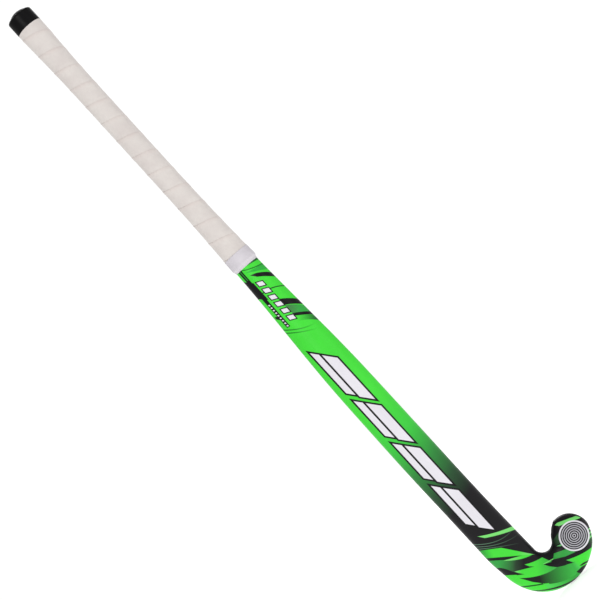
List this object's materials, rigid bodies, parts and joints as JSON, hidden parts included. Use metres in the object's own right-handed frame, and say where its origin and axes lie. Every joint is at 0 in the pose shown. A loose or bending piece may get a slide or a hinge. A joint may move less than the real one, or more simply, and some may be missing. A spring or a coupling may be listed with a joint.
{
  "type": "field hockey stick",
  "caption": "Composite field hockey stick with a J-shaped head, one flat playing side, a rounded back, a bowed shaft, a taped grip and a butt cap.",
  "frame": {"origin": "on the handle's axis, at the middle of the butt cap's straight cylinder", "axes": "+Z along the handle towards the butt, +X towards the toe, +Y the way the flat playing side looks at the handle; the head leans 7.4 degrees towards +Y"},
  "size_m": [0.1166, 0.061, 0.925],
  "materials": {
    "laminate": "lacquered green and black print over fibre laminate",
    "sleeve": "bare fibre laminate",
    "foam": "rigid foam",
    "plug": "rigid foam",
    "cap": "glossy moulded rubber",
    "cushion": "soft foam sheet",
    "grip": "soft chamois-like polyurethane",
    "tape": "satin tape"
  },
  "bodies": {
    "root": {"outer_laminate": "laminate", "head_sleeve": "sleeve", "head_core": "foam", "inner_tube_toe_side": "sleeve", "inner_tube_heel_side": "sleeve", "foam_core_toe_side": "foam", "foam_core_heel_side": "foam", "butt_plug": "plug", "butt_cap": "cap", "grip_cushion": "cushion", "grip_tape": "grip", "finish_tape": "tape"}
  },
  "joints": []
}
